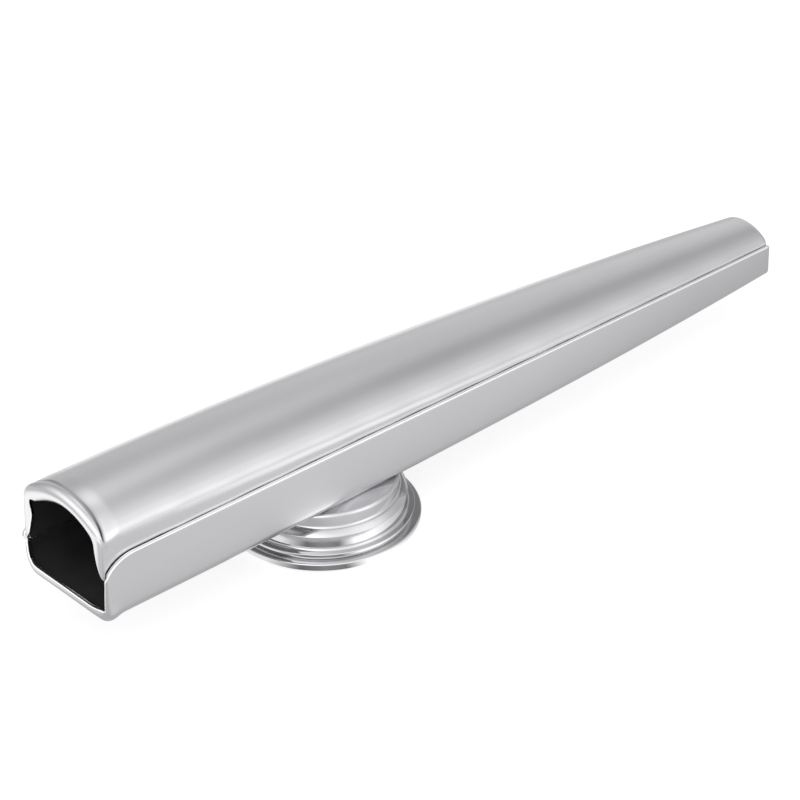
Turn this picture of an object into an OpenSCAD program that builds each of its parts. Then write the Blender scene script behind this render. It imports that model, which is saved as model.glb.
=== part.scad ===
// Pressed metal kazoo, lying as it stands on a table: turret down, dome up.
// +X runs from the mouth end to the narrow end, +Z is up, and the origin is on
// the table under the middle of the body.

/* [Body] */
// Length of the body
body_l = 120; // [100:1:140]
// Width across the side walls at the mouth
mouth_w = 17; // [15:0.1:20]
// Width across the side walls at the narrow end
exit_w = 9.3; // [8:0.1:12]
// How late the sides draw in: 1 is a straight taper
width_curve = 2.6; // [1.2:0.1:3.5]
// Height from the flat face to the crown at the mouth
mouth_h = 15.4; // [14:0.1:18]
// Height from the flat face to the crown at the narrow end
exit_h = 6.8; // [6:0.1:9]
// How late the crown comes down: 1 is a straight taper
height_curve = 1.55; // [1.1:0.05:2.5]
// Height of the channel's side walls behind the mouth
mouth_side_h = 9.1; // [8.5:0.1:11]
// Height of the channel's side walls at the narrow end
exit_side_h = 4.75; // [4.5:0.05:5.6]
// How late the side walls come down: 1 is a straight taper
side_curve = 2.15; // [1.2:0.05:3]
// Outside radius of the channel's long bottom edges at the mouth
mouth_edge_r = 1.5; // [1.3:0.1:2]
// Outside radius of those edges at the narrow end
exit_edge_r = 1.1; // [0.8:0.1:1.6]

/* [Sheet] */
// Thickness of the shells' sheet
sheet_t = 0.55; // [0.4:0.05:0.7]
// Gap between the dome's flanks and the side walls that lap them
seam_gap = 0.12; // [0.05:0.01:0.3]
// Radius of the dome's crown, as a share of its half width
crown_r_share = 1.52; // [1.2:0.01:2]
// Radius of the dome's shoulders, as a share of its half width
shoulder_r_share = 0.36; // [0.25:0.01:0.6]
// How far up the side walls the dome's flanks begin, as a share of their height
flank_foot_share = 0.5; // [0.4:0.01:0.6]

/* [Mouth] */
// Outside radius of the lips that are curled in at the mouth
lip_r = 1; // [0.8:0.05:1.3]
// How far round the dome's lip is rolled at the crown
dome_lip_angle = 150; // [100:5:160]
// How late that lip grows between the side walls and the crown: 1 is a steady growth
dome_lip_curve = 0.5; // [0.4:0.05:1]
// How far below the side walls' front corners the dome's lip starts to grow
dome_lip_drop = 0.1; // [0:0.05:0.5]
// How far round the front edges of the side walls are turned in
wall_lip_angle = 50; // [20:2:56]
// How far the floor's front edge stands up above its bend
floor_lip_rise = 0.4; // [0.2:0.1:0.8]
// Distance of the crease's deepest line behind the dome's lip
crease_back = 0.42; // [0.3:0.02:0.8]
// Length over which the sheet comes back to its face behind that line
crease_l = 2.8; // [2:0.1:4]
// Depth of the crease on the crown
crown_crease = 0.08; // [0.04:0.01:0.12]
// Depth of the crease on the shoulders
shoulder_crease = 0.22; // [0.14:0.01:0.25]
// How far down from the crown the crease reaches
crease_reach = 3.9; // [3:0.1:5]
// Height over which the crease fades out above its lower end
crease_fade = 1.5; // [1:0.1:2]
// Length of the rounded front corner of each side wall
corner_l = 5; // [4:0.1:6]
// Height of that rounded front corner
corner_h = 4; // [3.2:0.1:4.4]
// How far the dome's flanks stand back where the side walls' lips pass them
flank_setback = 1.7; // [1.5:0.1:2.2]
// Height over which the flanks come forward again
setback_h = 1.5; // [1.2:0.1:2]

/* [Collar] */
// Distance of the turret's axis from the mouth
turret_x = 42.3; // [35:0.1:50]
// Thickness of the collar's sheet
collar_t = 0.8; // [0.6:0.05:1]
// Outside radius of the tube that passes through the channel's hole
spigot_r = 5.8; // [5:0.1:6]
// Wall of that tube
spigot_t = 0.55; // [0.4:0.05:0.8]
// Width of the tube's end that is clinched over inside the channel
clinch_w = 1; // [0.7:0.1:1.2]
// Thickness of the clinched end
clinch_t = 0.5; // [0.3:0.05:0.7]
// Play between the tube and the channel's hole
spigot_play = 0.05; // [0.02:0.01:0.1]
// Outside radius of the upper drum
drum_r = 10.35; // [9.8:0.05:10.6]
// Height of the upper drum
drum_h = 2; // [1.8:0.1:2.4]
// Radius of the drum's top edge
drum_edge_r = 0.45; // [0.2:0.05:0.6]
// How far the lower band stands out from the drum
step_w = 1; // [0.8:0.05:1.2]
// Height of the step between drum and band
step_h = 0.75; // [0.7:0.05:1]
// Depth of the membrane's seat inside, below the foot of the drum
seat_drop = 0.6; // [0.5:0.05:0.7]
// Height of the lower band
band_h = 2; // [1.8:0.1:2.4]
// Radius of the hollow fillets at the foot of drum and band
fillet_r = 0.4; // [0.2:0.05:0.45]
// How far the collar's lip stands out from the band
flange_w = 0.95; // [0.8:0.05:1.2]
// Thickness of that lip
flange_t = 0.85; // [0.6:0.05:1]
// Radius of the lip's upper edge
lip_edge_r = 0.12; // [0.05:0.01:0.15]
// Radius of the lip's lower edge, which is rounded under
lip_foot_r = 0.4; // [0.3:0.05:0.45]

/* [Membrane] */
// Thickness of the film
film_t = 0.08; // [0.05:0.01:0.1]
// Play round the ring that carries the film
ring_play = 0.2; // [0.1:0.05:0.3]
// Width of that ring
ring_w = 1.7; // [1.2:0.1:2]
// Thickness of that ring
ring_t = 0.6; // [0.4:0.05:0.8]
// How far the film stays inside the ring's edge
film_inset = 0.1; // [0.05:0.05:0.3]
// Play between the film, its seat and the cap
seat_play = 0.02; // [0.01:0.01:0.04]

/* [Cap] */
// Running clearance between the cap's skirt and the collar's bore
thread_clear = 0.08; // [0.05:0.01:0.1]
// Wall of the cap's skirt
skirt_t = 0.6; // [0.5:0.05:0.7]
// Width of the skirt's turned-in edge, which clamps the ring
clamp_w = 0.9; // [0.7:0.1:1.2]
// Thickness of the cap's sheet
cap_t = 0.5; // [0.4:0.05:0.55]
// How far the cap's rim stands out from the collar's lip
rim_w = 0.85; // [0.6:0.05:1.1]
// Height of the rim, a hem folded back under itself
rim_h = 1.35; // [1.25:0.05:1.6]
// Radius of the rim's upper edge
rim_edge_r = 0.2; // [0.1:0.05:0.3]
// Radius of the fold under the rim's outer edge
rim_foot_r = 0.9; // [0.7:0.05:0.95]
// Width of the flat layer that is folded in under the rim, where the kazoo stands
rim_fold_w = 0.6; // [0.4:0.05:0.8]
// Gap between the collar's lip and the rim
rim_gap = 0.1; // [0.08:0.01:0.3]

/* [Hidden] */

// Smoothness of the revolved pieces, and steps of an arc in their profiles
$fn = 96;
arc_steps = 8;
// Steps along each stretch of the shells' outlines and along the body
flank_steps = 10;
shoulder_steps = 6;
crown_steps = 12;
wall_steps = 8;
edge_steps = 5;
floor_steps = 4;
dome_lip_steps = 10;
channel_lip_steps = 8;
floor_bend_steps = 6;
corner_steps = 9;
body_steps = 15;
// Curl of the dome's lip where it dies away, as a share of its angle
lip_rest_share = 0.05;
// Places of the crease's stations before and behind its deepest line, as shares of the stretch
crease_rise_shares = [0.35, 0.7];
crease_fall_shares = [0, 0.12, 0.25, 0.42, 0.6, 0.8];
// How far cuts run past a surface
overrun = 1;
half_turn = 180;
right_angle = 90;

// Radii of the turret, outside and inside
band_r = drum_r + step_w;
flange_r = band_r + flange_w;
rim_r = flange_r + rim_w;
spigot_bore_r = spigot_r - spigot_t;
clinch_r = spigot_r + clinch_w;
chamber_r = drum_r - collar_t;
thread_bore_r = band_r - collar_t;
skirt_r = thread_bore_r - thread_clear;
skirt_bore_r = skirt_r - skirt_t;
hole_r = skirt_bore_r - clamp_w;
ring_r = thread_bore_r - ring_play;
film_r = ring_r - film_inset;
// Levels below the flat face, from the body down to the table
step_z = -drum_h - step_h;
seat_z = -drum_h - seat_drop;
flange_z = step_z - band_h;
flange_foot_z = flange_z - flange_t;
film_z = seat_z - seat_play - film_t;
ring_z = film_z - ring_t;
skirt_top_z = ring_z - seat_play;
rim_z = flange_foot_z - rim_gap;
stand_h = rim_h - rim_z;

// Sizes of the body's cross-section at a distance x from the mouth
function taper(mouth, exit, curve, x) = mouth - (mouth - exit) * pow(x / body_l, curve);
function wall_y(x) = taper(mouth_w, exit_w, width_curve, x) / 2;
function crown_z(x) = taper(mouth_h, exit_h, height_curve, x);
function side_z(x) = taper(mouth_side_h, exit_side_h, side_curve, x);
function flank_y(x) = wall_y(x) - sheet_t - seam_gap;
function foot_z(x) = flank_foot_share * side_z(x);
function edge_r(x) = taper(mouth_edge_r, exit_edge_r, 1, x);

// Limits a value to the stretch from 0 to 1
function clamp01(v) = min(1, max(0, v));
// Top of a side wall, with its front corner rounded off
function corner_drop(x) = corner_h * (1 - sqrt(1 - pow(clamp01(1 - x / corner_l), 2)));
function wall_top_z(x) = side_z(x) - corner_drop(x);
// Points of an arc, in steps that leave out its first point
function arc(c, r, a0, a1, steps = arc_steps) =
    [for (i = [1:steps]) let (a = a0 + (a1 - a0) * i / steps) c + r * [cos(a), sin(a)]];

// Outline of the dome at x: [y, z, inward y, inward z] from one foot over the crown to the other
function dome_outline(x) =
    let (
        hw = flank_y(x),
        crown_r = crown_r_share * hw,
        shoulder_r = shoulder_r_share * hw,
        crown_c = crown_z(x) - crown_r,
        rise = sqrt(pow(crown_r - shoulder_r, 2) - pow(hw - shoulder_r, 2)),
        turn = atan2(rise, hw - shoulder_r),
        shoulder_z = crown_c + rise,
        half = concat(
            [for (i = [0:flank_steps - 1]) let (t = i / flank_steps)
                [-hw, foot_z(x) * (1 - t) + shoulder_z * t, 1, 0]],
            [for (i = [0:shoulder_steps]) let (a = turn * i / shoulder_steps)
                [shoulder_r - hw - shoulder_r * cos(a), shoulder_z + shoulder_r * sin(a), cos(a), -sin(a)]],
            [for (i = [1:crown_steps / 2]) let (a = turn + (right_angle - turn) * 2 * i / crown_steps)
                [-crown_r * cos(a), crown_c + crown_r * sin(a), cos(a), -sin(a)]]
        )
    )
    mirrored_outline(half);

// Outline of the channel at x, from one wall's top across the floor to the other wall's top
function channel_outline(x) =
    let (
        hw = wall_y(x),
        r = edge_r(x),
        half = concat(
            [for (i = [0:wall_steps - 1]) let (t = i / wall_steps)
                [-hw, wall_top_z(x) * (1 - t) + r * t, 1, 0]],
            [for (i = [0:edge_steps]) let (a = right_angle * i / edge_steps)
                [r - hw - r * cos(a), r - r * sin(a), cos(a), sin(a)]],
            [for (i = [1:floor_steps]) [(r - hw) * (1 - i / floor_steps), 0, 0, 1]]
        )
    )
    mirrored_outline(half);

// A half outline whose last point lies on the middle plane, with its mirror image added
function mirrored_outline(half) =
    concat(half, [for (i = [len(half) - 2:-1:0]) let (p = half[i]) [-p[0], p[1], -p[2], p[3]]]);

// Point of a sheet's face, pressed in by s at an outline point
function face_point(x, p, s) = [x, p[0] + s * p[2], p[1] + s * p[3]];
// Where a face at depth d has got to at angle a round a lip: along the body and inwards
function curl(a, d) = [lip_r - (lip_r - d) * sin(a), lip_r - (lip_r - d) * cos(a)];

// Top of a side wall at its front edge, where its rounded corner starts
corner_foot_z = wall_top_z(curl(wall_lip_angle, 0)[0]);
// Level at which the dome's lip starts, and the share of its curl that it has at a height
lip_foot_z = corner_foot_z - dome_lip_drop;
function lip_growth(z) = pow(clamp01((z - lip_foot_z) / (mouth_h - lip_foot_z)), dome_lip_curve);
function lip_share(z) = lip_rest_share + (1 - lip_rest_share) * lip_growth(z);
// The flanks' lower front stands back behind the channel's lip, by less further from the mouth
function setback(z) = flank_setback * clamp01((corner_foot_z - z) / setback_h);
function set_back(x, back) = x + back * max(0, 1 - x / front_l);

// The crease behind the lip: its depth at an outline point, most on the shoulders, and the
// share of that depth at x
function crease_depth(p) =
    clamp01((p[1] - mouth_h + crease_reach) / crease_fade)
    * (crown_crease + (shoulder_crease - crown_crease) * 2 * abs(p[2] * p[3]));
function crease_share(x) =
    let (t = x < crease_x ? (x - lip_r) / crease_back : 1 - (x - crease_x) / crease_l)
    clamp01(t) * clamp01(t) * (3 - 2 * clamp01(t));

// Stations along the body behind the lips. Behind the mouth's front end both shells share them.
crease_x = lip_r + crease_back;
front_l = max(corner_l, crease_x + crease_l);
corner_stations = [for (i = [1:corner_steps - 1]) lip_r + (front_l - lip_r) * i / corner_steps];
crease_stations = concat(
    [for (s = crease_rise_shares) lip_r + crease_back * s],
    [for (s = crease_fall_shares) crease_x + crease_l * s]
);
body_stations = [for (i = [0:body_steps]) front_l + (body_l - front_l) * i / body_steps];

// Rings of sheet points at depth d, from the curled lip back to the narrow end
function dome_rings(d) =
    let (
        front = dome_outline(0),
        last = len(front) - 1,
        share = [for (p = front) lip_share(p[1])],
        back = [for (p = front) setback(p[1])]
    )
    concat(
        [for (j = [dome_lip_steps:-1:0]) [for (i = [0:last])
            let (c = curl(dome_lip_angle * share[i] * j / dome_lip_steps, d))
            face_point(set_back(c[0], back[i]), front[i], c[1])]],
        [for (x = concat(crease_stations, body_stations))
            let (o = dome_outline(x), s = crease_share(x))
            [for (i = [0:last]) face_point(set_back(x, back[i]), o[i], d + s * crease_depth(o[i]))]]
    );

// The side walls' lips turn in a little. The floor's bends up square and stands as a low flange.
function channel_rings(d) =
    concat(
        [for (j = [channel_lip_steps:-1:0])
            let (
                a = wall_lip_angle * j / channel_lip_steps,
                wall = curl(a, d),
                bend = curl(right_angle * min(1, j / floor_bend_steps), d),
                rise = max(0, j - floor_bend_steps) / (channel_lip_steps - floor_bend_steps)
            )
            [for (p = channel_outline(curl(a, 0)[0])) [
                wall[0] * p[2] * p[2] + bend[0] * p[3] * p[3],
                p[0] + wall[1] * p[2],
                p[1] + (bend[1] + floor_lip_rise * rise) * p[3]
            ]]],
        [for (x = concat(corner_stations, body_stations))
            [for (p = channel_outline(x)) face_point(x, p, d)]]
    );

// Two triangles for each cell of a grid of m by n points that starts at point k
function grid_faces(m, n, k, flip) =
    [for (j = [0:m - 2]) for (i = [0:n - 2]) for (h = [0, 1])
        let (
            a = k + j * n + i,
            cell = [a, a + 1, a + n + 1, a + n],
            f = h == 0 ? [cell[0], cell[1], cell[2]] : [cell[0], cell[2], cell[3]]
        )
        flip ? [f[2], f[1], f[0]] : f];

// Two triangles for each step of a strip that joins edge e of the outer grid to the inner grid
function strip_faces(e, k) =
    [for (i = [0:len(e) - 2]) for (h = [0, 1])
        h == 0 ? [e[i], e[i + 1], e[i + 1] + k] : [e[i], e[i + 1] + k, e[i] + k]];

// Solid sheet between two grids of rings, one on each face of the sheet
module sheet_solid(outer, inner) {
    m = len(outer);
    n = len(outer[0]);
    k = m * n;
    points = concat([for (ring = outer) each ring], [for (ring = inner) each ring]);
    front = [for (i = [n - 1:-1:0]) i];
    end = [for (i = [0:n - 1]) (m - 1) * n + i];
    one_side = [for (j = [0:m - 1]) j * n];
    other_side = [for (j = [m - 1:-1:0]) j * n + n - 1];
    polyhedron(points, concat(
        grid_faces(m, n, 0, false),
        grid_faces(m, n, k, true),
        strip_faces(front, k),
        strip_faces(end, k),
        strip_faces(one_side, k),
        strip_faces(other_side, k)
    ));
}

// Places a piece that is drawn from the mouth and from the flat face
module on_body() {
    translate([-body_l / 2, 0, stand_h]) children();
}

// Places a piece that is drawn about the turret's axis
module on_turret() {
    on_body() translate([turret_x, 0, 0]) rotate_extrude() children();
}

// Arched upper sheet: crown, round shoulders and flanks that stand inside the channel's walls,
// with its front edge curled in to a soft lip
module domed_shell() {
    color("gainsboro") on_body() sheet_solid(dome_rings(0), dome_rings(sheet_t));
}

// Flat-bottomed channel whose walls lap the dome from outside, with the hole for the turret
module flat_shell() {
    color("silver") on_body() difference() {
        sheet_solid(channel_rings(0), channel_rings(sheet_t));
        translate([turret_x, 0, -overrun])
            cylinder(r = spigot_r + spigot_play, h = sheet_t + 2 * overrun);
    }
}

// Drawn collar: a tube clinched into the channel's hole, a drum, a wider band and a lip.
// The film sits on the step inside and the cap screws into the band.
module turret_collar() {
    color("lightgray") on_turret() polygon(concat(
        [[spigot_bore_r, -collar_t], [spigot_bore_r, sheet_t]],
        arc([spigot_bore_r + clinch_t, sheet_t], clinch_t, half_turn, right_angle),
        [[clinch_r, sheet_t + clinch_t], [clinch_r, sheet_t], [spigot_r, sheet_t], [spigot_r, 0]],
        [[drum_r - drum_edge_r, 0]],
        arc([drum_r - drum_edge_r, -drum_edge_r], drum_edge_r, right_angle, 0),
        [[drum_r, fillet_r - drum_h]],
        arc([drum_r + fillet_r, fillet_r - drum_h], fillet_r, half_turn, half_turn + right_angle),
        [[band_r, step_z], [band_r, flange_z + fillet_r]],
        arc([band_r + fillet_r, flange_z + fillet_r], fillet_r, half_turn, half_turn + right_angle),
        [[flange_r - lip_edge_r, flange_z]],
        arc([flange_r - lip_edge_r, flange_z - lip_edge_r], lip_edge_r, right_angle, 0),
        [[flange_r, flange_foot_z + lip_foot_r]],
        arc([flange_r - lip_foot_r, flange_foot_z + lip_foot_r], lip_foot_r, 0, -right_angle),
        [[thread_bore_r, flange_foot_z], [thread_bore_r, seat_z], [chamber_r, seat_z]],
        [[chamber_r, -collar_t]]
    ));
}

// Thin film that buzzes, stretched over its ring
module membrane_film() {
    color("whitesmoke") on_turret() translate([0, film_z]) square([film_r, film_t]);
}

// Card ring that the film is glued to
module membrane_ring() {
    color("ivory") on_turret() translate([ring_r - ring_w, ring_z]) square([ring_w, ring_t]);
}

// Screw cap: a skirt whose turned-in edge clamps the ring, an open hole, and a rim whose sheet
// is folded back under itself
module screw_cap() {
    foot_z = rim_z - rim_h;
    fold_r = rim_r - rim_foot_r;
    slot_r = (rim_h - 2 * cap_t) / 2;
    color("lightgray") on_turret() polygon(concat(
        [[hole_r, skirt_top_z], [skirt_r - cap_t / 2, skirt_top_z]],
        arc([skirt_r - cap_t / 2, skirt_top_z - cap_t / 2], cap_t / 2, right_angle, 0),
        [[skirt_r, rim_z], [rim_r - rim_edge_r, rim_z]],
        arc([rim_r - rim_edge_r, rim_z - rim_edge_r], rim_edge_r, right_angle, 0),
        [[rim_r, foot_z + rim_foot_r]],
        arc([fold_r, foot_z + rim_foot_r], rim_foot_r, 0, -right_angle),
        [[fold_r - rim_fold_w, foot_z], [fold_r - rim_fold_w, foot_z + cap_t], [fold_r, foot_z + cap_t]],
        arc([fold_r, foot_z + cap_t + slot_r], slot_r, -right_angle, right_angle),
        [[skirt_bore_r + cap_t, rim_z - cap_t]],
        arc([skirt_bore_r + cap_t, rim_z], cap_t, half_turn + right_angle, half_turn),
        [[skirt_bore_r, skirt_top_z - cap_t], [hole_r, skirt_top_z - cap_t]]
    ));
}

domed_shell();
flat_shell();
turret_collar();
membrane_film();
membrane_ring();
screw_cap();
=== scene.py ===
import math

import bmesh
import bpy
from mathutils import Matrix, Vector


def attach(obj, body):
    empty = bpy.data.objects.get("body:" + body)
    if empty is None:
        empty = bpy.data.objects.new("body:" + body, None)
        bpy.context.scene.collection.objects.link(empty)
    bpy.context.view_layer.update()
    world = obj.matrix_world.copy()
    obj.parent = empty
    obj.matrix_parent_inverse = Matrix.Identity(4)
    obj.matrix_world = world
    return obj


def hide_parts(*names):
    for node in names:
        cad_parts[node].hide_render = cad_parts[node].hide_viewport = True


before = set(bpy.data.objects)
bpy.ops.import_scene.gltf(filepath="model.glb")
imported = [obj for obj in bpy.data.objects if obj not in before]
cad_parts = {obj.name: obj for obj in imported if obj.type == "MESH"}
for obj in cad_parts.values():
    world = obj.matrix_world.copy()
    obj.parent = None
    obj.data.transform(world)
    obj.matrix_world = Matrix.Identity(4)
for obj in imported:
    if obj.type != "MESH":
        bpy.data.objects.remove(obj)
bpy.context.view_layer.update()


# Camera. It looks down over the mouth end from about 0.6 m, at the photograph's angle.
# The long lens keeps the two ends of the body nearly the same scale.
CAMERA_AZIMUTH = math.radians(-41.549)
CAMERA_ELEVATION = math.radians(33.226)
CAMERA_DISTANCE = 0.61994
CAMERA_AIM = Vector((-0.006958, -0.003498, 0.01505))
LENS_MM = 215.2
SENSOR_MM = 36.0

lens = bpy.data.cameras.new("camera")
lens.lens = LENS_MM
lens.sensor_width = SENSOR_MM
lens.clip_start = 0.01
lens.clip_end = 20.0
camera = bpy.data.objects.new("camera", lens)
bpy.context.scene.collection.objects.link(camera)
towards_camera = Vector((
    math.sin(CAMERA_AZIMUTH) * math.cos(CAMERA_ELEVATION),
    -math.cos(CAMERA_AZIMUTH) * math.cos(CAMERA_ELEVATION),
    math.sin(CAMERA_ELEVATION),
))
camera.location = CAMERA_AIM + towards_camera * CAMERA_DISTANCE
camera.rotation_mode = "QUATERNION"
camera.rotation_quaternion = (-towards_camera).to_track_quat("-Z", "Y")
bpy.context.scene.camera = camera
bpy.context.scene.view_settings.view_transform = "Standard"


# Studio. A white light tent all round, with brighter panels beside the near wall, above and
# in front of the mouth, and a dimmer gap high at the narrow end. A soft key lamp, which the
# metal doesn't mirror, gives the floor its shadow.
TENT_BASE = 0.85
TENT_CLOTH = (0.8, 0.8, 0.8, 1.0)
# Each panel: extra brightness, azimuth from +X and elevation in degrees, sharpness
TENT_PANELS = (
    # beside and above the near wall
    (1.60, -69.0, 19.0, 12.5),
    (0.90, -44.0, 55.0, 13.5),
    # overhead on the far side, and the dimmer gap
    (-0.53, 19.0, 52.0, 36.0),
    (1.35, 41.0, 61.0, 30.0),
    (-0.14, 62.0, 30.0, 30.0),
    (0.40, 36.0, 12.0, 11.0),
    # in front of the mouth, mirrored by its rolled lip
    (1.20, -132.0, 38.0, 5.0),
    (1.20, 178.0, 44.0, 6.0),
    (1.00, 128.0, 36.0, 9.0),
    (0.50, -148.0, 12.0, 10.0),
    (-0.25, 98.0, 5.0, 12.0),
)
# How much of the tent's light the matt surfaces get, beside the key lamp's
TENT_LIGHT_SHARE = 0.55
KEY_LAMP_SIZE = 0.9
KEY_LAMP_DISTANCE = 1.2
KEY_LAMP_LEVEL = 1.1
KEY_LAMP_AZIMUTH, KEY_LAMP_ELEVATION = -115.0, 55.0


def add_node(tree, kind, settings=None, links=None):
    """Adds a node, sets its properties and sockets by name or number, and links its sockets."""
    node = tree.nodes.new(kind)
    for key, value in (settings or {}).items():
        if isinstance(key, int) or key in node.inputs:
            node.inputs[key].default_value = value
        else:
            setattr(node, key, value)
    for key, socket in (links or {}).items():
        tree.links.new(socket, node.inputs[key])
    return node


def direction(azimuth, elevation):
    """Unit vector towards an azimuth and elevation in degrees."""
    a, e = math.radians(azimuth), math.radians(elevation)
    return (math.cos(a) * math.cos(e), math.sin(a) * math.cos(e), math.sin(e))


world = bpy.data.worlds.new("light_tent")
bpy.context.scene.world = world
world.use_nodes = True
tree = world.node_tree
tree.nodes.clear()
looking = add_node(tree, "ShaderNodeTexCoord").outputs["Generated"]
brightness = add_node(tree, "ShaderNodeValue")
brightness.outputs[0].default_value = TENT_BASE
level = brightness.outputs[0]
for extra, azimuth, elevation, sharpness in TENT_PANELS:
    facing = add_node(tree, "ShaderNodeVectorMath", {
        "operation": "DOT_PRODUCT", 1: direction(azimuth, elevation)}, {0: looking})
    falloff = add_node(tree, "ShaderNodeMath", {
        "operation": "MULTIPLY_ADD", 1: sharpness, 2: -sharpness},
        {0: facing.outputs["Value"]})
    lobe = add_node(tree, "ShaderNodeMath", {"operation": "EXPONENT"},
                    {0: falloff.outputs[0]})
    level = add_node(tree, "ShaderNodeMath", {"operation": "MULTIPLY_ADD", 1: extra},
                     {0: lobe.outputs[0], 2: level}).outputs[0]
tent = add_node(tree, "ShaderNodeBackground", {"Color": TENT_CLOTH}, {"Strength": level})
paths = add_node(tree, "ShaderNodeLightPath")
mirrored = add_node(tree, "ShaderNodeMath", {"operation": "MAXIMUM"}, {
    0: paths.outputs["Is Glossy Ray"], 1: paths.outputs["Is Transmission Ray"]})
soft_level = add_node(tree, "ShaderNodeMath", {"operation": "MULTIPLY", 1: TENT_LIGHT_SHARE},
                      {0: level})
soft = add_node(tree, "ShaderNodeBackground", {"Color": TENT_CLOTH},
                {"Strength": soft_level.outputs[0]})
seen = add_node(tree, "ShaderNodeMixShader", {},
                {0: mirrored.outputs[0], 1: soft.outputs[0], 2: tent.outputs[0]})
white = add_node(tree, "ShaderNodeBackground", {
    "Color": (1.0, 1.0, 1.0, 1.0), "Strength": 1.0})
shown = add_node(tree, "ShaderNodeMixShader", {},
                 {0: paths.outputs["Is Camera Ray"], 1: seen.outputs[0], 2: white.outputs[0]})
add_node(tree, "ShaderNodeOutputWorld", {}, {"Surface": shown.outputs[0]})

key = bpy.data.lights.new("key_softbox", "AREA")
key.shape = "SQUARE"
key.size = KEY_LAMP_SIZE
key.energy = KEY_LAMP_LEVEL * math.pi * KEY_LAMP_SIZE ** 2
key_lamp = bpy.data.objects.new("key_softbox", key)
bpy.context.scene.collection.objects.link(key_lamp)
key_lamp.location = Vector(direction(KEY_LAMP_AZIMUTH, KEY_LAMP_ELEVATION)) * KEY_LAMP_DISTANCE
key_lamp.rotation_mode = "QUATERNION"
key_lamp.rotation_quaternion = (-key_lamp.location).to_track_quat("-Z", "Y")
key_lamp.visible_glossy = False


# Floor. Plain white paper that runs out of view on every side and keeps the object's soft
# shadow. The metal sees it dim under the body and brighter in three places: along the near
# side, beyond the far side and out in front of the mouth.
FLOOR_HALF_WIDTH = 6.0
PAPER_SHARE = 0.34
PAPER_LIFT = 0.8
UNDER_LEVEL, NEAR_LEVEL = 0.42, 0.68
# Lines across the paper, as shares of X and Y, that the edges of the light are measured on
ALONG_X, ALONG_Y = (1.0, 0.0), (0.0, 1.0)
NEAR_SLANT, FAR_SLANT, FRONT_SLANT = (1.0, 0.5), (1.0, -0.6), (1.0, -0.286)
# Where each edge starts and is full, in metres on its line, and the share left outside it
# where that isn't nothing
UNDER_EDGE = (-0.013, -0.022)
NEAR_LIGHT, NEAR_EDGE = 0.65, (-0.028, -0.043)
NEAR_START, NEAR_END = (-0.058, -0.02), (0.07, -0.01, 0.25)
FAR_LIGHT, FAR_EDGE, FAR_LIMIT = 0.5, (0.016, 0.04), (0.13, 0.085)
FAR_START, FAR_END = (-0.07, -0.052), (0.06, 0.02)
FRONT_LIGHT, FRONT_EDGE, FRONT_LIMIT = 0.9, (-0.062, -0.076), (0.07, 0.03, 0.2)
FRONT_FAR_HALF, FRONT_FURTHER_OUT = (-0.014, 0.012, 0.1), (-0.115, -0.16)
# Painted shade in front of the mouth, a darker spot which draws the fine dark line along its
# lips
SPOT_DEPTH = 0.38
SPOT_PLACE, SPOT_SIZE = (-0.066, -0.029, 0.0), (0.009, 0.02, 1.0)
# Close round the turret the metal sees the paper by turns shaded and lit: brightness by
# bearing in degrees from +X, out to a radius in metres where that fades
TURRET_PLACE = (-0.0177, 0.0, 0.0)
TURRET_INNER, TURRET_OUTER = 0.0172, 0.0184
ROUND_TURRET = (
    (-165, 1.2), (-143, 0.0), (-128, 0.15), (-115, 0.05), (-100, 1.65), (-84, 1.65),
    (-60, 0.85), (-29, 0.25), (-10, 0.25), (40, 0.7), (150, 0.7),
)


def linear(code):
    """Colour written as an sRGB hex value, turned to linear light."""
    channels = [int(code[i:i + 2], 16) / 255 for i in (1, 3, 5)]
    return (*[c / 12.92 if c <= 0.04045 else ((c + 0.055) / 1.055) ** 2.4
              for c in channels], 1.0)


def new_material(name):
    """An empty material and its tree, ready for a shader."""
    material = bpy.data.materials.new(name)
    material.use_nodes = True
    material.node_tree.nodes.clear()
    return material, material.node_tree


paper, tree = new_material("floor_paper")
paths = add_node(tree, "ShaderNodeLightPath")
spot = add_node(tree, "ShaderNodeTexCoord").outputs["Object"]


def light_edge(line, start, full, outside=0.0, inside=1.0):
    """Soft edge of a patch of light on the paper, from where it starts to where it is full,
    in metres along a line, with the levels outside and inside it."""
    along = add_node(tree, "ShaderNodeVectorMath", {
        "operation": "DOT_PRODUCT", 1: (*line, 0.0)}, {0: spot})
    return add_node(tree, "ShaderNodeMapRange", {
        "interpolation_type": "SMOOTHSTEP", "From Min": start, "From Max": full,
        "To Min": outside, "To Max": inside}, {"Value": along.outputs["Value"]}).outputs[0]


def lay_light(paper_level, strength, *edges):
    """Adds a patch of light to the paper's level: its strength times all its edges."""
    patch = edges[0]
    for edge in edges[1:]:
        patch = add_node(tree, "ShaderNodeMath", {"operation": "MULTIPLY"},
                         {0: patch, 1: edge}).outputs[0]
    return add_node(tree, "ShaderNodeMath", {"operation": "MULTIPLY_ADD", 1: strength},
                    {0: patch, 2: paper_level}).outputs[0]


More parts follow.
